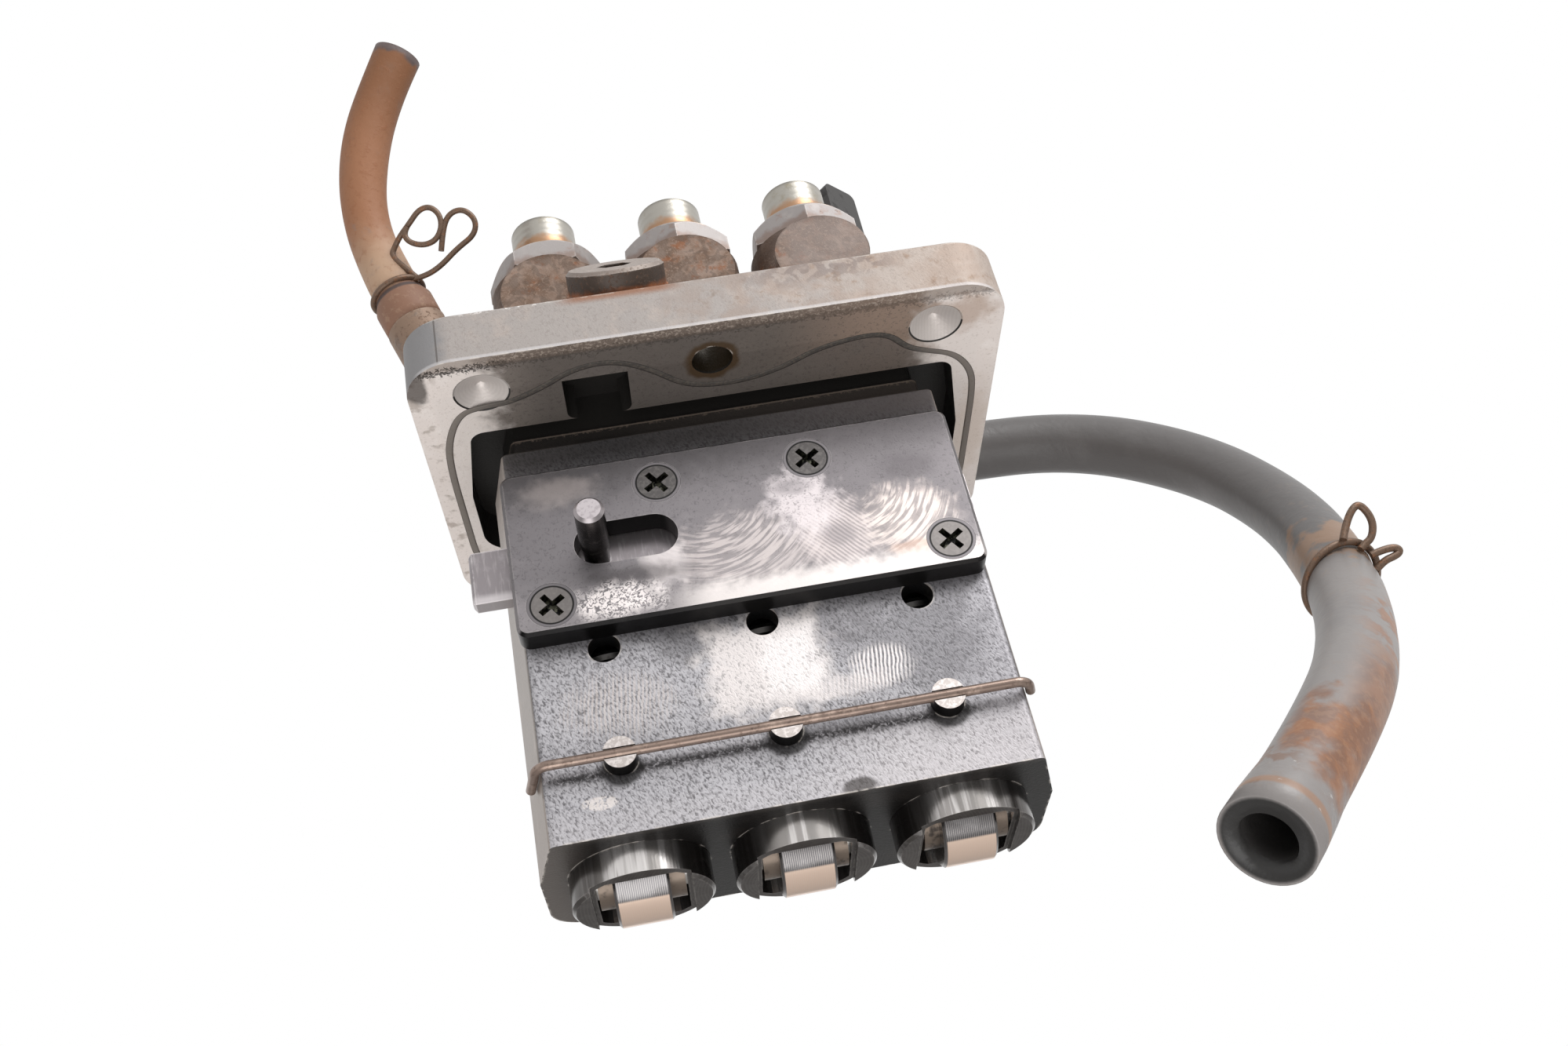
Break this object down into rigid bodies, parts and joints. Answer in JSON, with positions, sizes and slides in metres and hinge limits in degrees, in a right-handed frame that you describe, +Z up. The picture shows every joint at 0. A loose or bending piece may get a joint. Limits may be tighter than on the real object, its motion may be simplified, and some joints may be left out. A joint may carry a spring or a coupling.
{
  "type": "fuel injection pump",
  "caption": "In-line diesel injection pump body with a mounting flange, delivery valves, roller tappets, a sliding control rack and two fuel hoses.",
  "frame": {"origin": "centre of the mounting flange's lower face, on the middle plunger's axis", "axes": "+Z up the plungers to the delivery valves, +X along the row, -Y the front, with the control plate"},
  "size_m": [0.1641, 0.0997, 0.1864],
  "materials": {
    "housing": "die-cast aluminium, oily and dirty",
    "plate": "dark ground steel",
    "screws": "steel",
    "rack": "bare steel",
    "pin": "dark hardened steel",
    "barrel": "ground steel",
    "valve": "lapped steel",
    "copper": "soft copper",
    "holder": "zinc-plated steel",
    "seal": "black nitrile rubber",
    "spring": "spring steel",
    "plunger": "lapped hardened steel",
    "sleeve": "steel",
    "tappet": "case-hardened steel, oiled",
    "roller": "polished hardened steel",
    "bush": "bronze",
    "guide_pin": "bright steel",
    "wire": "spring wire, lightly rusted",
    "plug": "dark oxidised steel",
    "elbow": "steel, lightly rusted",
    "old_hose": "aged rubber, rust-brown",
    "hose": "matt grey rubber",
    "clip": "spring wire, rusty",
    "banjo": "zinc-plated steel",
    "bracket": "dark grey paint"
  },
  "bodies": {
    "housing": {"pump_housing": "housing", "control_plate": "plate", "plate_screws": "screws", "barrels": "barrel", "valve_seats": "valve", "seat_gaskets": "copper", "valve_holders": "holder", "o_rings": "seal", "upper_spring_seats": "spring", "guide_pins": "guide_pin", "retaining_wire": "wire", "vent_plug": "plug", "vent_washer": "copper", "overflow_elbow": "elbow", "overflow_hose": "old_hose", "overflow_hose_clip": "clip", "inlet_banjo": "banjo", "banjo_bolt": "banjo", "banjo_washers": "copper", "inlet_hose": "hose", "inlet_hose_band": "clip", "inlet_hose_clip": "clip", "pipe_bracket": "bracket", "bracket_bolt": "screws", "valve_spring_1": "spring", "plunger_spring_1": "spring", "valve_spring_2": "spring", "plunger_spring_2": "spring", "valve_spring_3": "spring", "plunger_spring_3": "spring"},
    "rack": {"control_rack": "rack", "rack_pin": "pin"},
    "sleeve_1": {"control_sleeve_1": "sleeve"},
    "tappet_1": {"tappet_1": "tappet", "roller_pin_1": "guide_pin", "lower_spring_seat_1": "spring"},
    "roller_1": {"roller_1": "roller", "roller_bush_1": "bush"},
    "plunger_1": {"plunger_1": "plunger"},
    "valve_1": {"delivery_valve_1": "valve"},
    "sleeve_2": {"control_sleeve_2": "sleeve"},
    "tappet_2": {"tappet_2": "tappet", "roller_pin_2": "guide_pin", "lower_spring_seat_2": "spring"},
    "roller_2": {"roller_2": "roller", "roller_bush_2": "bush"},
    "plunger_2": {"plunger_2": "plunger"},
    "valve_2": {"delivery_valve_2": "valve"},
    "sleeve_3": {"control_sleeve_3": "sleeve"},
    "tappet_3": {"tappet_3": "tappet", "roller_pin_3": "guide_pin", "lower_spring_seat_3": "spring"},
    "roller_3": {"roller_3": "roller", "roller_bush_3": "bush"},
    "plunger_3": {"plunger_3": "plunger"},
    "valve_3": {"delivery_valve_3": "valve"}
  },
  "joints": [
    {"name": "rack_slide", "type": "slide", "parent": "housing", "child": "rack", "axis": [1, 0, 0], "range_m": [0, 0.0096]},
    {"name": "sleeve_turn_1", "type": "hinge", "parent": "housing", "child": "sleeve_1", "pos_m": [-0.024, 0, -0.03], "axis": [0, 0, 1], "range_deg": [0, 49.29]},
    {"name": "tappet_slide_1", "type": "slide", "parent": "housing", "child": "tappet_1", "axis": [0, 0, 1], "range_m": [0, 0.0065], "stiffness_N_per_m": 1500, "springref_m": -0.02, "deforming": ["plunger_spring_1"]},
    {"name": "plunger_turn_1", "type": "hinge", "parent": "tappet_1", "child": "plunger_1", "pos_m": [-0.024, 0, -0.03], "axis": [0, 0, 1], "range_deg": [0, 49.29]},
    {"name": "roller_spin_1", "type": "hinge", "parent": "tappet_1", "child": "roller_1", "pos_m": [-0.024, 0, -0.07275], "axis": [1, 0, 0], "continuous": true},
    {"name": "valve_lift_1", "type": "slide", "parent": "housing", "child": "valve_1", "axis": [0, 0, 1], "range_m": [0, 0.0016], "stiffness_N_per_m": 800, "springref_m": -0.004, "deforming": ["valve_spring_1"]},
    {"name": "sleeve_turn_2", "type": "hinge", "parent": "housing", "child": "sleeve_2", "pos_m": [0, 0, -0.03], "axis": [0, 0, 1], "range_deg": [0, 49.29]},
    {"name": "tappet_slide_2", "type": "slide", "parent": "housing", "child": "tappet_2", "axis": [0, 0, 1], "range_m": [0, 0.0065], "stiffness_N_per_m": 1500, "springref_m": -0.02, "deforming": ["plunger_spring_2"]},
    {"name": "plunger_turn_2", "type": "hinge", "parent": "tappet_2", "child": "plunger_2", "pos_m": [0, 0, -0.03], "axis": [0, 0, 1], "range_deg": [0, 49.29]},
    {"name": "roller_spin_2", "type": "hinge", "parent": "tappet_2", "child": "roller_2", "pos_m": [0, 0, -0.07275], "axis": [1, 0, 0], "continuous": true},
    {"name": "valve_lift_2", "type": "slide", "parent": "housing", "child": "valve_2", "axis": [0, 0, 1], "range_m": [0, 0.0016], "stiffness_N_per_m": 800, "springref_m": -0.004, "deforming": ["valve_spring_2"]},
    {"name": "sleeve_turn_3", "type": "hinge", "parent": "housing", "child": "sleeve_3", "pos_m": [0.024, 0, -0.03], "axis": [0, 0, 1], "range_deg": [0, 49.29]},
    {"name": "tappet_slide_3", "type": "slide", "parent": "housing", "child": "tappet_3", "axis": [0, 0, 1], "range_m": [0, 0.0065], "stiffness_N_per_m": 1500, "springref_m": -0.02, "deforming": ["plunger_spring_3"]},
    {"name": "plunger_turn_3", "type": "hinge", "parent": "tappet_3", "child": "plunger_3", "pos_m": [0.024, 0, -0.03], "axis": [0, 0, 1], "range_deg": [0, 49.29]},
    {"name": "roller_spin_3", "type": "hinge", "parent": "tappet_3", "child": "roller_3", "pos_m": [0.024, 0, -0.07275], "axis": [1, 0, 0], "continuous": true},
    {"name": "valve_lift_3", "type": "slide", "parent": "housing", "child": "valve_3", "axis": [0, 0, 1], "range_m": [0, 0.0016], "stiffness_N_per_m": 800, "springref_m": -0.004, "deforming": ["valve_spring_3"]}
  ],
  "couplings": [
    {"joint": "sleeve_turn_1", "follows": "rack_slide", "rad_per_m": 88.878},
    {"joint": "plunger_turn_1", "follows": "rack_slide", "rad_per_m": 88.878},
    {"joint": "sleeve_turn_2", "follows": "rack_slide", "rad_per_m": 88.878},
    {"joint": "plunger_turn_2", "follows": "rack_slide", "rad_per_m": 88.878},
    {"joint": "sleeve_turn_3", "follows": "rack_slide", "rad_per_m": 88.878},
    {"joint": "plunger_turn_3", "follows": "rack_slide", "rad_per_m": 88.878}
  ]
}
